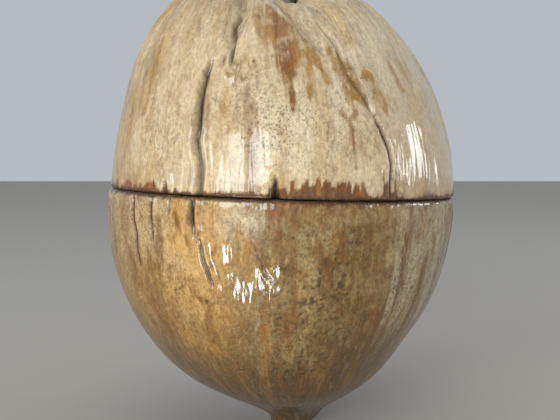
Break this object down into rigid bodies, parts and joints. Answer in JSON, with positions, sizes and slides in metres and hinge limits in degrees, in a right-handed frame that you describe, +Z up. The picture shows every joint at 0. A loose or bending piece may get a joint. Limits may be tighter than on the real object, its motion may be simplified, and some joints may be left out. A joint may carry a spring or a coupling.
{
  "type": "fruit shell rattle",
  "caption": "Whole dried varnished fruit rattle, cut across into a base on a small ground foot and a lift-off lid with folded crown, loose seeds inside",
  "frame": {"origin": "centre of the flat ground on the pointed lower end, on the surface that the rattle stands on", "axes": "+Z up from the foot to the crown, -Y the front, where the crown's rim dips, +X to the right"},
  "size_m": [0.1731, 0.173, 0.2305],
  "materials": {
    "husk_base": "gloss",
    "husk_lid": "gloss",
    "nut_shell": "satin",
    "hoop": "matte",
    "dry_stalk": "matte",
    "dry_scale": "matte",
    "seed": "gloss"
  },
  "bodies": {
    "base": {"base_husk": "husk_base", "base_inner_shell": "nut_shell", "locating_ring": "hoop"},
    "lid": {"lid_husk": "husk_lid", "lid_inner_shell": "nut_shell", "stem_stub": "dry_stalk", "calyx_scale_left": "dry_scale", "calyx_scale_right": "dry_scale", "calyx_scale_rear": "dry_scale"},
    "seed_01": {"seed_01": "seed"},
    "seed_02": {"seed_02": "seed"},
    "seed_03": {"seed_03": "seed"},
    "seed_04": {"seed_04": "seed"},
    "seed_05": {"seed_05": "seed"},
    "seed_06": {"seed_06": "seed"},
    "seed_07": {"seed_07": "seed"},
    "seed_08": {"seed_08": "seed"},
    "seed_09": {"seed_09": "seed"},
    "seed_10": {"seed_10": "seed"},
    "seed_11": {"seed_11": "seed"},
    "seed_12": {"seed_12": "seed"}
  },
  "joints": [
    {"name": "lid_lift", "type": "slide", "parent": "base", "child": "lid", "axis": [0, 0, 1], "range_m": [0, 0.12]},
    {"name": "seed_01_hop", "type": "slide", "parent": "base", "child": "seed_01", "axis": [0, 0, 1], "range_m": [0, 0.112]},
    {"name": "seed_02_hop", "type": "slide", "parent": "base", "child": "seed_02", "axis": [0, 0, 1], "range_m": [0, 0.112]},
    {"name": "seed_03_hop", "type": "slide", "parent": "base", "child": "seed_03", "axis": [0, 0, 1], "range_m": [0, 0.112]},
    {"name": "seed_04_hop", "type": "slide", "parent": "base", "child": "seed_04", "axis": [0, 0, 1], "range_m": [0, 0.104]},
    {"name": "seed_05_hop", "type": "slide", "parent": "base", "child": "seed_05", "axis": [0, 0, 1], "range_m": [0, 0.104]},
    {"name": "seed_06_hop", "type": "slide", "parent": "base", "child": "seed_06", "axis": [0, 0, 1], "range_m": [0, 0.104]},
    {"name": "seed_07_hop", "type": "slide", "parent": "base", "child": "seed_07", "axis": [0, 0, 1], "range_m": [0, 0.104]},
    {"name": "seed_08_hop", "type": "slide", "parent": "base", "child": "seed_08", "axis": [0, 0, 1], "range_m": [0, 0.104]},
    {"name": "seed_09_hop", "type": "slide", "parent": "base", "child": "seed_09", "axis": [0, 0, 1], "range_m": [0, 0.104]},
    {"name": "seed_10_hop", "type": "slide", "parent": "base", "child": "seed_10", "axis": [0, 0, 1], "range_m": [0, 0.104]},
    {"name": "seed_11_hop", "type": "slide", "parent": "base", "child": "seed_11", "axis": [0, 0, 1], "range_m": [0, 0.104]},
    {"name": "seed_12_hop", "type": "slide", "parent": "base", "child": "seed_12", "axis": [0, 0, 1], "range_m": [0, 0.104]}
  ]
}
